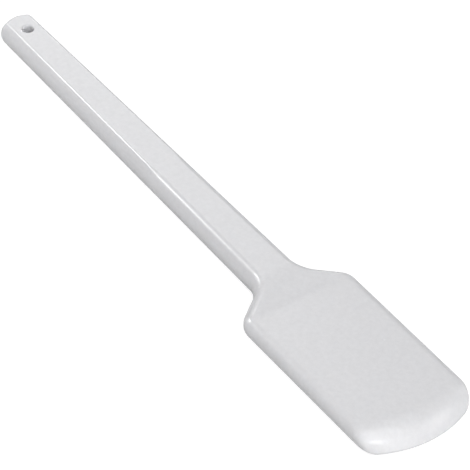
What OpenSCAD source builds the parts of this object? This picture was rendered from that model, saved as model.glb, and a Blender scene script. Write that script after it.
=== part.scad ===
// One-piece moulded spatula. A bar handle with bulging sides and a hanging hole widens through
// two concave fillets into a flat blade with rounded sides, whose top curves down to the tip.
// X runs from the hanging end to the tip and +Z is up. The origin is under the middle of
// the part, on the surface that it rests on.

/* [Overall] */
// Length from the hanging end to the tip
total_length = 343; // [290:1:420]

/* [Handle] */
// Length of the handle, from the hanging end to where it starts to widen
handle_length = 228.5; // [180:0.5:245]
// Width of the handle at the hanging end, across its widest line
end_width = 18.7; // [16:0.1:24]
// Width of the handle where it meets the blade, across its widest line
neck_width = 24; // [20:0.5:30]
// Thickness of the handle
handle_thickness = 13.7; // [11:0.1:18]
// Radius of the arched end, seen from above
end_radius = 10.8; // [8:0.2:14]
// Slope of the straight flanks beside the arch
end_slope = 21; // [10:1:30]
// Radius of the corners of the top at the hanging end
end_corner = 0.4; // [0.2:0.1:1.5]

/* [Sides of the handle] */
// Length of the grip, from the hanging end to where its crisp edges turn soft
grip_length = 138; // [80:1:160]
// Radius of the crisp edges along the grip
grip_edge = 0.6; // [0.3:0.1:1.2]
// How far the sides of the grip bulge past its edges
grip_bulge = 3.4; // [1:0.1:3.6]
// Radius of the soft edges between the grip and the blade
neck_edge = 1.6; // [0.8:0.1:2.4]
// How far the sides bulge past the edges between the grip and the blade
neck_bulge = 3.5; // [1:0.1:3.6]

/* [Blade] */
// Width of the blade
blade_width = 59; // [46:1:80]
// Thickness of the blade, whose sides are rounded all the way
blade_thickness = 10.5; // [7:0.1:12]
// Height of the blade's underside above that of the handle
blade_lift = 0.9; // [0:0.1:1.5]
// Length of the shoulders, from the end of the handle to the full width
shoulder_length = 14; // [10:0.5:20]
// Radius of the concave fillets between the handle and the shoulders
fillet_radius = 14.5; // [8:0.5:17]
// Radius of the shoulders
shoulder_radius = 9.6; // [7:0.2:12]

/* [Tip] */
// Radius of the crowned tip, seen from above
tip_radius = 51; // [45:1:90]
// Radius of the corners of the tip
tip_corner = 11.6; // [8:0.2:16]
// Length over which the top curves down to the tip
nose_length = 13; // [6:0.5:20]
// Thickness of the scraping edge
tip_thickness = 1.6; // [1:0.1:4]

/* [Hanging hole] */
// Diameter of the hole
hole_diameter = 5.6; // [4:0.2:7]
// Distance from the hanging end to the middle of the hole
hole_from_end = 14.8; // [11:0.2:20]
// Radius of the rounded rims of the hole
hole_rim = 1; // [0.4:0.1:1.4]

/* [Hidden] */
end_x = -total_length / 2;
tip_x = total_length / 2;
neck_x = end_x + handle_length;
shoulder_x = neck_x + shoulder_length;
// The handle turns into the blade over this stretch
blend_from = neck_x - 2;
blend_to = shoulder_x + 6;
// The edges turn soft over this stretch
soft_from = end_x + grip_length - 7;
soft_to = end_x + grip_length + 7;
// The wall that is left between the roundings of the blade's sides
least_wall = 0.4;
// Above 2, the top curves down to the tip more slowly at first
nose_power = 3;
longest_step = 5;
arc_step = 10;
edge_steps = 6;
wall_steps = 4;

// Corners of one half of the outline, from the hanging end to the blade, with their radii
end_apex = end_x - end_radius * (1 / cos(end_slope) - 1);
CORNERS = [
    [end_apex, 0],
    [end_apex + end_width / 2 * tan(end_slope), end_width / 2],
    [neck_x, neck_width / 2],
    [shoulder_x, blade_width / 2]
];
RADII = [end_radius, end_corner + grip_edge + grip_bulge, fillet_radius, shoulder_radius];
last_corner = len(CORNERS) - 1;

function clamp(t) = min(1, max(0, t));
function ease(x, from, to) = let (t = clamp((x - from) / (to - from))) t * t * (3 - 2 * t);
function mix(a, b, t) = a + (b - a) * t;
function heading(p, q) = atan2(q[1] - p[1], q[0] - p[0]);
function along(angle, r) = [r * cos(angle), r * sin(angle)];

// The outline leaves the middle at a right angle, and the sides of the blade are straight
HEADINGS = [
    90,
    for (i = [0:last_corner - 1]) heading(CORNERS[i], CORNERS[i + 1]),
    0
];

// Sizes of the section at a place along the part
function blade_share(x) = ease(x, blend_from, blend_to);
function soft_share(x) = ease(x, soft_from, soft_to);
function top_height(x) = mix(handle_thickness, blade_lift + blade_thickness, blade_share(x));
function bottom_height(x) = mix(0, blade_lift, blade_share(x));
function bulge(x) = mix(grip_bulge, neck_bulge, soft_share(x)) * (1 - blade_share(x));
function rounding(x) =
    mix(mix(grip_edge, neck_edge, soft_share(x)), (blade_thickness - least_wall) / 2, blade_share(x));

// A point on the arc of a corner, where the outline has the given heading
function arc_side(i) = HEADINGS[i + 1] > HEADINGS[i] ? 1 : -1;
function arc_middle(i) =
    i == 0 ? [end_x + end_radius, 0] :
    let (reach = RADII[i] * tan(abs(HEADINGS[i + 1] - HEADINGS[i]) / 2))
    CORNERS[i] - along(HEADINGS[i], reach) + along(HEADINGS[i] + 90 * arc_side(i), RADII[i]);
function arc_point(i, angle) = arc_middle(i) - along(angle + 90 * arc_side(i), RADII[i]);

// The tip is a crown that meets the sides in round corners. Its outline and the rim of its
// flat top are both of this form: t goes from 0 to 1 round a corner, and from 1 to 2 along
// the crown to the axis.
function meeting_angle(half, corner) = asin((half - corner) / (tip_radius - corner));
function tip_angle(half, corner, t) =
    let (meet = meeting_angle(half, corner))
    t < 1 ? mix(90, meet, t) : mix(meet, 0, t - 1);
function tip_point(half, corner, crown_x, t) =
    let (meet = meeting_angle(half, corner), angle = tip_angle(half, corner, t))
    t < 1
        ? [crown_x, half - corner] + [(tip_radius - corner) * cos(meet), 0] + along(angle, corner)
        : [crown_x, 0] + along(angle, tip_radius);
blade_half = blade_width / 2;
rim_half = (blade_width - blade_thickness + least_wall) / 2;
rim_corner = tip_corner - blade_thickness / 2;
crown_x = tip_x - tip_radius;
function outer_tip(t) = tip_point(blade_half, tip_corner, crown_x, t);
function rim_tip(t) = tip_point(rim_half, rim_corner, crown_x - nose_length, t);

// A station is a point of the outline, the point of the flat top's rim that belongs to it, the
// direction out of the side, and the share of the nose in its section. Before the tip, the
// rim stands back from the outline by the rounding and the bulge.
function rim_at(p, out) = p - out * (rounding(p[0]) + bulge(p[0]));
function side_station(p, angle) = let (out = along(angle + 90, 1)) [p, rim_at(p, out), out, 0];
function arc_stations(i) =
    let (turn = HEADINGS[i + 1] - HEADINGS[i], n = ceil(abs(turn) / arc_step))
    [for (k = [0:n]) let (a = HEADINGS[i] + turn * k / n) side_station(arc_point(i, a), a)];
function straight_stations(i) =
    let (
        a = HEADINGS[i + 1],
        p = arc_point(i, a),
        q = arc_point(i + 1, a),
        n = ceil(norm(q - p) / longest_step)
    )
    n < 2 ? [] : [for (k = [1:n - 1]) side_station(mix(p, q, k / n), a)];
function blade_side_stations() =
    let (
        p = arc_point(last_corner, 0),
        q = outer_tip(0),
        n = ceil((q[0] - p[0]) / longest_step),
        out = [0, 1]
    )
    [for (k = [1:n - 1]) [mix(p, q, k / n), mix(rim_at(p, out), rim_tip(0), k / n), out, 0]];
function tip_station(t) =
    [outer_tip(t), rim_tip(t), along(tip_angle(blade_half, tip_corner, t), 1), ease(t, 0, 1)];
corner_count = ceil((90 - meeting_angle(blade_half, tip_corner)) / arc_step);
crown_count = ceil(meeting_angle(blade_half, tip_corner) / arc_step);
STATIONS = [
    for (i = [0:last_corner]) each concat(
        arc_stations(i),
        i < last_corner ? straight_stations(i) : blade_side_stations()
    ),
    for (k = [0:corner_count - 1]) tip_station(k / corner_count),
    for (k = [0:crown_count]) tip_station(1 + k / crown_count)
];

// Half of a section: the middle of the top, the top rounding, the bulging wall, the bottom
// rounding and the middle of the bottom. Round the tip corners the top rounding grows into
// the long nose and the bottom one shrinks to the scraping edge.
function section(s) =
    let (
        outer = s[0],
        rim = s[1],
        out = s[2],
        share = s[3],
        b = bulge(outer[0]),
        low = mix(rounding(outer[0]), tip_thickness / 2, share),
        rise = mix(rounding(outer[0]), blade_thickness - tip_thickness / 2 - least_wall, share),
        foot = outer - out * (low + b),
        top = top_height(rim[0]),
        bottom = bottom_height(foot[0]),
        middle = (top + bottom) / 2,
        reach = norm(outer - rim),
        inward = (rim - outer) / reach,
        profile = [
            for (k = [0:edge_steps])
                let (a = 90 * k / edge_steps, drop = mix(1 - cos(a), pow(sin(a), nose_power), share))
                [inward * (reach - b) * (1 - sin(a)), inward, top - rise * drop],
            for (k = [1:wall_steps - 1])
                [[0, 0], -out, mix(top - rise, bottom + low, k / wall_steps)],
            for (k = [0:edge_steps])
                let (a = 90 * k / edge_steps)
                [-out * low * (1 - cos(a)), -out, bottom + low * (1 - sin(a))]
        ]
    )
    [
        [rim[0], 0, top],
        for (p = profile)
            let (q = outer + p[0] + p[1] * b * pow((p[2] - middle) / (top - middle), 2))
            [q[0], q[1], p[2]],
        [foot[0], 0, bottom]
    ];

// Rings of the skin: half a section and its mirror image share the points on the axis
HALF_RINGS = [for (s = STATIONS) section(s)];
half_count = len(HALF_RINGS[0]);
ring_count = 2 * half_count - 2;
last_ring = len(HALF_RINGS) - 1;
function mirrored(p) = [p[0], -p[1], p[2]];
SKIN_POINTS = [
    for (ring = HALF_RINGS) each concat(
        ring,
        [for (k = [half_count - 2:-1:1]) mirrored(ring[k])]
    )
];

// On the first and last ring both halves coincide, and so do the ends of the two flats
function own_half(k) = k < half_count ? k : ring_count - k;
function folded(k) = min(half_count - 2, max(1, own_half(k)));
function index(i, k) =
    let (m = k % ring_count)
    i * ring_count + (i == 0 || i == last_ring ? folded(m) : m);
function is_face(f) = f[0] != f[1] && f[1] != f[2] && f[2] != f[0];
SKIN_FACES = [
    for (i = [0:last_ring - 1]) for (k = [0:ring_count - 1])
        let (a = index(i, k), b = index(i, k + 1), c = index(i + 1, k + 1), d = index(i + 1, k))
        for (f = [[a, b, c], [a, c, d]]) if (is_face(f)) f
];

module skin() {
    polyhedron(points = SKIN_POINTS, faces = SKIN_FACES, convexity = 4);
}

// Cutter for the hole, whose rims are rounded where they meet the top and the bottom
module rounded_hole(bottom, top) {
    r = hole_diameter / 2;
    translate([0, 0, bottom - 1])
        cylinder(r = r, h = top - bottom + 2, $fn = 64);
    for (side = [0, 1])
        translate([0, 0, side == 0 ? bottom : top])
            mirror([0, 0, 1 - side])
                rotate_extrude($fn = 64)
                    difference() {
                        translate([0, -hole_rim])
                            square([r + hole_rim, hole_rim + 1]);
                        translate([r + hole_rim, -hole_rim])
                            circle(r = hole_rim, $fn = 48);
                    }
}

module spatula() {
    color("whitesmoke")
        difference() {
            skin();
            translate([end_x + hole_from_end, 0, 0])
                rounded_hole(0, handle_thickness);
        }
}

spatula();
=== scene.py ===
import math
import bmesh
import bpy
from mathutils import Matrix, Vector

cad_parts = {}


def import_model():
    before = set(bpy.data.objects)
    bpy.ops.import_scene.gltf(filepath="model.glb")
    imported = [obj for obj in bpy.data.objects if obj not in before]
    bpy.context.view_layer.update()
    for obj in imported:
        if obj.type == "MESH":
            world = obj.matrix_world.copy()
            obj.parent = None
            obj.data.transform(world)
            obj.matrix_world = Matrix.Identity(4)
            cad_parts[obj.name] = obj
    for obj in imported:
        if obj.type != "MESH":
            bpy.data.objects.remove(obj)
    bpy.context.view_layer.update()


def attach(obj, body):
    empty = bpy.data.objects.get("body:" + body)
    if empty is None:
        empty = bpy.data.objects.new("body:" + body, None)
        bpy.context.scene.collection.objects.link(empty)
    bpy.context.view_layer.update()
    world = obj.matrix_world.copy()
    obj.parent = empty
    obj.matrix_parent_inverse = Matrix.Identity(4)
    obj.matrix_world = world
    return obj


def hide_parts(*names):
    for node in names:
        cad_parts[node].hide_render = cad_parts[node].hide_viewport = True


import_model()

MM = 0.001
scene = bpy.context.scene
scene.view_settings.view_transform = "Standard"

# Sizes of the spatula in millimetres, the same as the solid's
TOTAL_LENGTH = 343
HANDLE_LENGTH = 228.5
END_WIDTH = 18.7
NECK_WIDTH = 24
HANDLE_THICKNESS = 13.7
END_RADIUS = 10.8
END_SLOPE = math.radians(21)
END_CORNER = 0.4
GRIP_LENGTH = 138
GRIP_EDGE = 0.6
GRIP_BULGE = 3.4
NECK_EDGE = 1.6
NECK_BULGE = 3.5
BLADE_WIDTH = 59
BLADE_THICKNESS = 10.5
BLADE_LIFT = 0.9
SHOULDER_LENGTH = 14
FILLET_RADIUS = 14.5
SHOULDER_RADIUS = 9.6
TIP_RADIUS = 51
TIP_CORNER = 11.6
NOSE_LENGTH = 13
TIP_THICKNESS = 1.6
HOLE_DIAMETER = 5.6
HOLE_FROM_END = 14.8
HOLE_RIM = 1
# The wall that is left between the roundings of the blade's sides
LEAST_WALL = 0.4
# Above 2, the top curves down to the tip more slowly at first
NOSE_POWER = 3

# Places along X, and the stretches where the handle turns into the blade and its edges turn soft
END_X = -TOTAL_LENGTH / 2
TIP_X = TOTAL_LENGTH / 2
NECK_X = END_X + HANDLE_LENGTH
SHOULDER_X = NECK_X + SHOULDER_LENGTH
BLEND_FROM = NECK_X - 2
BLEND_TO = SHOULDER_X + 6
SOFT_FROM = END_X + GRIP_LENGTH - 7
SOFT_TO = END_X + GRIP_LENGTH + 7

# How finely the skin and the hole are divided
LONGEST_STEP = 1.5
ARC_STEP = math.radians(3)
EDGE_STEPS = 14
WALL_STEPS = 12
TIP_CORNER_STEPS = 24
CROWN_STEPS = 18
RIM_STEPS = 12
HOLE_SPOKES = 128
# How far the hole's cutter stands out of the flats
CUTTER_EXCESS = 2
# Points closer than this become one: where the skin closes on itself, and where the hole is cut
SEAM_GAP = 0.001
CUT_GAP = 0.002


def ease(x, start, end):
    """A smooth rise from 0 at the start to 1 at the end."""
    t = min(1, max(0, (x - start) / (end - start)))
    return t * t * (3 - 2 * t)


def mix(a, b, t):
    return a + (b - a) * t


def along(angle, length=1.0):
    """A step of the given length in the direction of an angle, seen from above."""
    return Vector((math.cos(angle), math.sin(angle))) * length


def blade_share(x):
    """0 along the handle and 1 along the blade."""
    return ease(x, BLEND_FROM, BLEND_TO)


def soft_share(x):
    """0 along the grip, where the edges are crisp, and 1 past it."""
    return ease(x, SOFT_FROM, SOFT_TO)


def top_height(x):
    return mix(HANDLE_THICKNESS, BLADE_LIFT + BLADE_THICKNESS, blade_share(x))


def bottom_height(x):
    return mix(0, BLADE_LIFT, blade_share(x))


def bulge(x):
    """How far the side stands out past its edges."""
    return mix(GRIP_BULGE, NECK_BULGE, soft_share(x)) * (1 - blade_share(x))


def rounding(x):
    """Radius of the edges."""
    edge = mix(GRIP_EDGE, NECK_EDGE, soft_share(x))
    return mix(edge, (BLADE_THICKNESS - LEAST_WALL) / 2, blade_share(x))


# One half of the outline from the hanging end to the blade: corners, radii and headings
END_APEX = END_X - END_RADIUS * (1 / math.cos(END_SLOPE) - 1)
CORNERS = [
    Vector((END_APEX, 0)),
    Vector((END_APEX + END_WIDTH / 2 * math.tan(END_SLOPE), END_WIDTH / 2)),
    Vector((NECK_X, NECK_WIDTH / 2)),
    Vector((SHOULDER_X, BLADE_WIDTH / 2)),
]
RADII = [END_RADIUS, END_CORNER + GRIP_EDGE + GRIP_BULGE, FILLET_RADIUS, SHOULDER_RADIUS]
HEADINGS = [math.pi / 2]
HEADINGS += [math.atan2(q.y - p.y, q.x - p.x) for p, q in zip(CORNERS, CORNERS[1:])]
HEADINGS += [0.0]


def arc_point(corner, angle):
    """The point on the arc of a corner where the outline has the given heading."""
    turn = HEADINGS[corner + 1] - HEADINGS[corner]
    side = math.pi / 2 if turn > 0 else -math.pi / 2
    radius = RADII[corner]
    if corner == 0:
        middle = Vector((END_X + END_RADIUS, 0))
    else:
        arc_start = CORNERS[corner] - along(HEADINGS[corner], radius * math.tan(abs(turn) / 2))
        middle = arc_start + along(HEADINGS[corner] + side, radius)
    return middle - along(angle + side, radius)


def tip_angles(half, corner, t):
    """The angle at which a corner of the tip meets the crown, and the angle at t."""
    meet = math.asin((half - corner) / (TIP_RADIUS - corner))
    angle = mix(math.pi / 2, meet, t) if t < 1 else mix(meet, 0, t - 1)
    return meet, angle


def tip_point(half, corner, crown_x, t):
    """A point of the tip: t goes from 0 to 1 round a corner, and from 1 to 2 along the crown."""
    meet, angle = tip_angles(half, corner, t)
    if t < 1:
        middle = Vector((crown_x + (TIP_RADIUS - corner) * math.cos(meet), half - corner))
        return middle + along(angle, corner)
    return Vector((crown_x, 0)) + along(angle, TIP_RADIUS)


def outer_tip(t):
    return tip_point(BLADE_WIDTH / 2, TIP_CORNER, TIP_X - TIP_RADIUS, t)


def rim_tip(t):
    """The point where the flat top ends and curves down to the tip."""
    half = (BLADE_WIDTH - BLADE_THICKNESS + LEAST_WALL) / 2
    return tip_point(half, TIP_CORNER - BLADE_THICKNESS / 2, TIP_X - TIP_RADIUS - NOSE_LENGTH, t)


def side_station(point, heading):
    out = along(heading + math.pi / 2)
    rim = point - out * (rounding(point.x) + bulge(point.x))
    return point, rim, out, 0.0


def steps_between(start, end):
    return math.ceil((end - start).length / LONGEST_STEP)


def stations():
    """Points of the outline, each with its rim point, its way out and its share of the nose."""
    made = []
    for corner in range(len(CORNERS)):
        turn = HEADINGS[corner + 1] - HEADINGS[corner]
        count = math.ceil(abs(turn) / ARC_STEP)
        for k in range(count + 1):
            heading = HEADINGS[corner] + turn * k / count
            made.append(side_station(arc_point(corner, heading), heading))
        if corner + 1 < len(CORNERS):
            start = arc_point(corner, heading)
            end = arc_point(corner + 1, heading)
            count = steps_between(start, end)
            for k in range(1, count):
                made.append(side_station(start.lerp(end, k / count), heading))
    # The straight side of the blade
    start, rim, out, share = made[-1]
    end = outer_tip(0)
    rim_end = rim_tip(0)
    count = steps_between(start, end)
    for k in range(1, count):
        made.append((start.lerp(end, k / count), rim.lerp(rim_end, k / count), out, share))
    # The corner of the tip and its crown
    places = [k / TIP_CORNER_STEPS for k in range(TIP_CORNER_STEPS)]
    places += [1 + k / CROWN_STEPS for k in range(CROWN_STEPS + 1)]
    for t in places:
        angle = tip_angles(BLADE_WIDTH / 2, TIP_CORNER, t)[1]
        made.append((outer_tip(t), rim_tip(t), along(angle), ease(t, 0, 1)))
    return made


def section(station):
    """Half a section, from the middle of the top round the side to the middle of the bottom."""
    outer, rim, out, share = station
    swell = bulge(outer.x)
    low = mix(rounding(outer.x), TIP_THICKNESS / 2, share)
    rise = mix(rounding(outer.x), BLADE_THICKNESS - TIP_THICKNESS / 2 - LEAST_WALL, share)
    foot = outer - out * (low + swell)
    top = top_height(rim.x)
    bottom = bottom_height(foot.x)
    middle = (top + bottom) / 2
    reach = (outer - rim).length
    inward = (rim - outer) / reach
    # Points of the side: the step from the outline, the way in which the bulge acts, the height
    side = []
    for k in range(EDGE_STEPS + 1):
        a = math.pi / 2 * k / EDGE_STEPS
        drop = mix(1 - math.cos(a), math.sin(a) ** NOSE_POWER, share)
        side.append((inward * (reach - swell) * (1 - math.sin(a)), inward, top - rise * drop))
    for k in range(1, WALL_STEPS):
        side.append((out * 0, -out, mix(top - rise, bottom + low, k / WALL_STEPS)))
    for k in range(EDGE_STEPS + 1):
        a = math.pi / 2 * k / EDGE_STEPS
        side.append((-out * low * (1 - math.cos(a)), -out, bottom + low * (1 - math.sin(a))))
    points = [(rim.x, 0, top)]
    for step, way, z in side:
        point = outer + step + way * swell * ((z - middle) / (top - middle)) ** 2
        points.append((point.x, point.y, z))
    points.append((foot.x, 0, bottom))
    return points


def mesh_from(bm, name):
    mesh = bpy.data.meshes.new(name)
    bm.to_mesh(mesh)
    bm.free()
    return mesh


def made_object(name, data):
    made = bpy.data.objects.new(name, data)
    scene.collection.objects.link(made)
    return made


def skin_mesh():
    """The closed skin of the spatula without its hole: a ring of points at each station."""
    bm = bmesh.new()
    rings = []
    for station in stations():
        half = section(station)
        ring = half + [(x, -y, z) for x, y, z in half[-2:0:-1]]
        rings.append([bm.verts.new(Vector(point) * MM) for point in ring])
    for a, b in zip(rings, rings[1:]):
        for k in range(len(a)):
            following = (k + 1) % len(a)
            bm.faces.new((a[k], a[following], b[following], b[k]))
    # The two halves of the first ring lie on each other, and so do those of the last
    bmesh.ops.remove_doubles(bm, verts=rings[0] + rings[-1], dist=SEAM_GAP * MM)
    bmesh.ops.recalc_face_normals(bm, faces=bm.faces)
    return mesh_from(bm, "spatula_skin")


def hole_cutter():
    """A turned cutter for the hanging hole, which rounds both rims where they meet the flats."""
    bore = HOLE_DIAMETER / 2
    middle_x = END_X + HOLE_FROM_END
    lowest = -CUTTER_EXCESS
    highest = HANDLE_THICKNESS + CUTTER_EXCESS
    rim = []
    for k in range(RIM_STEPS + 1):
        a = math.pi / 2 * k / RIM_STEPS
        rim.append((bore + HOLE_RIM * (1 - math.sin(a)), HOLE_RIM * (1 - math.cos(a))))
    profile = [(bore + HOLE_RIM, lowest)]
    profile += rim
    profile += [(r, HANDLE_THICKNESS - z) for r, z in reversed(rim)]
    profile += [(bore + HOLE_RIM, highest)]
    bm = bmesh.new()
    low_end = bm.verts.new(Vector((middle_x, 0, lowest)) * MM)
    high_end = bm.verts.new(Vector((middle_x, 0, highest)) * MM)
    spokes = []
    for k in range(HOLE_SPOKES):
        a = 2 * math.pi * k / HOLE_SPOKES
        spokes.append([
            bm.verts.new(Vector((middle_x + r * math.cos(a), r * math.sin(a), z)) * MM)
            for r, z in profile
        ])
    for a, b in zip(spokes, spokes[1:] + spokes[:1]):
        bm.faces.new((low_end, a[0], b[0]))
        bm.faces.new((high_end, b[-1], a[-1]))
        for k in range(len(a) - 1):
            bm.faces.new((a[k], a[k + 1], b[k + 1], b[k]))
    bmesh.ops.recalc_face_normals(bm, faces=bm.faces)
    return mesh_from(bm, "hole_cutter")


def spatula_body():
    """The skin with the hanging hole cut through it."""
    body = made_object("spatula_body", skin_mesh())
    cutter = made_object("hole_cutter", hole_cutter())
    cut = body.modifiers.new("hole", "BOOLEAN")
    cut.operation = "DIFFERENCE"
    cut.solver = "EXACT"
    cut.object = cutter
    graph = bpy.context.evaluated_depsgraph_get()
    mesh = bpy.data.meshes.new_from_object(body.evaluated_get(graph))
    body.modifiers.clear()
    body.data = mesh
    mesh.name = "spatula_body"
    bpy.data.objects.remove(cutter)
    # Points that the cut leaves next to each other become one
    bm = bmesh.new()
    bm.from_mesh(mesh)
    bmesh.ops.remove_doubles(bm, verts=bm.verts, dist=CUT_GAP * MM)
    bm.to_mesh(mesh)
    bm.free()
    for face in mesh.polygons:
        face.use_smooth = True
    weighted = body.modifiers.new("even_shading", "WEIGHTED_NORMAL")
    weighted.keep_sharp = False
    weighted.weight = 100
    return body


def plastic():
    """White moulded plastic: a fine grain, faint flow mottling and an uneven satin gloss."""
    material = bpy.data.materials.new("white_plastic")
    material.use_nodes = True
    nodes, links = material.node_tree.nodes, material.node_tree.links
    shader = nodes["Principled BSDF"]
    place = nodes.new("ShaderNodeTexCoord").outputs["Object"]

    def noise(scale, detail, roughness=0.5):
        made = nodes.new("ShaderNodeTexNoise")
        made.inputs["Scale"].default_value = scale
        made.inputs["Detail"].default_value = detail
        made.inputs["Roughness"].default_value = roughness
        links.new(place, made.inputs["Vector"])
        return made.outputs["Fac"]

    def ramp(value, low, high):
        made = nodes.new("ShaderNodeMapRange")
        made.inputs["To Min"].default_value = low
        made.inputs["To Max"].default_value = high
        links.new(value, made.inputs["Value"])
        return made.outputs["Result"]

    def bump(height, strength, distance, under=None):
        made = nodes.new("ShaderNodeBump")
        made.inputs["Strength"].default_value = strength
        made.inputs["Distance"].default_value = distance
        links.new(height, made.inputs["Height"])
        if under:
            links.new(under, made.inputs["Normal"])
        return made.outputs["Normal"]

    mottle = nodes.new("ShaderNodeMix")
    mottle.data_type = "RGBA"
    mottle.inputs["A"].default_value = (0.720, 0.720, 0.737, 1)
    mottle.inputs["B"].default_value = (0.840, 0.840, 0.858, 1)
    links.new(noise(scale=420, detail=3, roughness=0.7), mottle.inputs["Factor"])
    links.new(mottle.outputs["Result"], shader.inputs["Base Color"])
    gloss = ramp(noise(scale=200, detail=2), low=0.22, high=0.29)
    links.new(gloss, shader.inputs["Roughness"])
    shader.inputs["IOR"].default_value = 1.49
    shader.inputs["Subsurface Weight"].default_value = 0.25
    shader.inputs["Subsurface Radius"].default_value = (1.0, 0.95, 0.9)
    shader.inputs["Subsurface Scale"].default_value = 0.003
    grain = bump(noise(scale=1500, detail=3), strength=0.3, distance=0.00003)
    waves = bump(noise(scale=60, detail=2), strength=0.3, distance=0.0003, under=grain)
    links.new(waves, shader.inputs["Normal"])
    return material


# Half the floor's width and its drop below the part, in metres
FLOOR_REACH = 3
FLOOR_DROP = 0.0001
# To the camera the floor is a dark grey that glows, so that it shows white and keeps a faint
# shadow. To all other rays it is a plain pale grey.
SEEN_GREY = 0.3
SEEN_GLOW = 0.85
PLAIN_GREY = 0.66


def floor():
    """A plain white floor, which keeps a faint shadow of the object."""
    bm = bmesh.new()
    bmesh.ops.create_grid(bm, x_segments=1, y_segments=1, size=FLOOR_REACH)
    mesh = mesh_from(bm, "floor")
    made = made_object("floor", mesh)
    made.location.z = -FLOOR_DROP
    material = bpy.data.materials.new("floor_white")
    material.use_nodes = True
    nodes, links = material.node_tree.nodes, material.node_tree.links
    nodes.clear()
    shaded = nodes.new("ShaderNodeBsdfDiffuse")
    shaded.inputs["Color"].default_value = (SEEN_GREY, SEEN_GREY, SEEN_GREY, 1)
    glow = nodes.new("ShaderNodeEmission")
    glow.inputs["Strength"].default_value = SEEN_GLOW
    seen = nodes.new("ShaderNodeAddShader")
    links.new(shaded.outputs[0], seen.inputs[0])
    links.new(glow.outputs[0], seen.inputs[1])
    plain = nodes.new("ShaderNodeBsdfDiffuse")
    plain.inputs["Color"].default_value = (PLAIN_GREY, PLAIN_GREY, PLAIN_GREY, 1)
    path = nodes.new("ShaderNodeLightPath")
    choice = nodes.new("ShaderNodeMixShader")
    links.new(path.outputs["Is Camera Ray"], choice.inputs[0])
    links.new(plain.outputs[0], choice.inputs[1])
    links.new(seen.outputs[0], choice.inputs[2])
    surface = nodes.new("ShaderNodeOutputMaterial")
    links.new(choice.outputs[0], surface.inputs["Surface"])
    mesh.materials.append(material)


def world():
    """White where the camera sees it, and no light from it on the object."""
    made = bpy.data.worlds.new("studio")
    scene.world = made
    made.use_nodes = True
    nodes, links = made.node_tree.nodes, made.node_tree.links
    nodes["Background"].inputs["Color"].default_value = (1, 1, 1, 1)
    path = nodes.new("ShaderNodeLightPath")
    links.new(path.outputs["Is Camera Ray"], nodes["Background"].inputs["Strength"])


# Softboxes all round: name, azimuth and elevation in degrees, distance and width in metres,
# and power in watts; azimuth 0 is +X and 90 is +Y
LAMPS = [
    ("front_low", 0, 14, 1.6, 0.8, 3.8),
    ("front_high", 350, 52, 1.1, 0.75, 4.6),
    ("front_right", 325, 34, 1.6, 0.9, 5.6),
    ("front_left", 40, 20, 1.6, 0.6, 2.4),
    ("tip_key", 343, 21, 1.6, 0.2, 3.0),
    ("left_low", 80, 12, 1.6, 0.5, 1.9),
    ("overhead", 110, 68, 1.6, 0.5, 1.1),
    ("rim_light", 142, 18, 1.6, 0.2, 3.0),
    ("back", 160, 37, 1.2, 0.6, 2.4),
    ("back_small", 200, 30, 1.6, 0.2, 0.6),
    ("back_right", 212, 30, 1.6, 0.8, 1.4),
    ("back_right_low", 210, 12, 1.6, 0.5, 1.4),
    ("edge_light", 209, 35, 0.87, 0.12, 2.1),
]


def softbox(name, azimuth, elevation, distance, width, power):
    """A square soft light that faces the origin."""
    data = bpy.data.lights.new(name, "AREA")
    data.shape = "SQUARE"
    data.size = width
    data.energy = power
    made = made_object(name, data)
    a, e = math.radians(azimuth), math.radians(elevation)
    way = Vector((math.cos(a) * math.cos(e), math.sin(a) * math.cos(e), math.sin(e)))
    made.location = way * distance
    made.rotation_mode = "QUATERNION"
    made.rotation_quaternion = way.to_track_quat("Z", "Y")


# The camera looks down along this azimuth; the pixel is where the frame's origin appears
VIEW_AZIMUTH = math.radians(146.0249)
VIEW_ELEVATION = math.radians(40.9785)
VIEW_DISTANCE = 1.62334
PIXELS_PER_METRE = 2183.8
IMAGE_SIZE = 470
ORIGIN_PIXEL = (207.87, 225.75)
SENSOR_WIDTH = 36
NEAREST_SEEN = 0.05
FARTHEST_SEEN = 20


def camera():
    data = bpy.data.cameras.new("camera")
    focal_pixels = PIXELS_PER_METRE * VIEW_DISTANCE
    data.sensor_fit = "HORIZONTAL"
    data.sensor_width = SENSOR_WIDTH
    data.lens = focal_pixels * SENSOR_WIDTH / IMAGE_SIZE
    data.clip_start = NEAREST_SEEN
    data.clip_end = FARTHEST_SEEN
    a, e = VIEW_AZIMUTH, VIEW_ELEVATION
    ahead = Vector((math.cos(a) * math.cos(e), math.sin(a) * math.cos(e), -math.sin(e)))
    right = Vector((math.sin(a), -math.cos(a), 0))
    up = right.cross(ahead)
    across = (ORIGIN_PIXEL[0] - IMAGE_SIZE / 2) / PIXELS_PER_METRE
    rise = (IMAGE_SIZE / 2 - ORIGIN_PIXEL[1]) / PIXELS_PER_METRE
    made = made_object("camera", data)
    turn = Matrix((right, up, -ahead)).transposed().to_4x4()
    turn.translation = -(right * across + up * rise + ahead * VIEW_DISTANCE)
    made.matrix_world = turn
    scene.camera = made


camera()
world()
floor()
for lamp in LAMPS:
    softbox(*lamp)

body = spatula_body()
body.data.materials.clear()
body.data.materials.append(plastic())
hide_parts("spatula")
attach(body, "root")
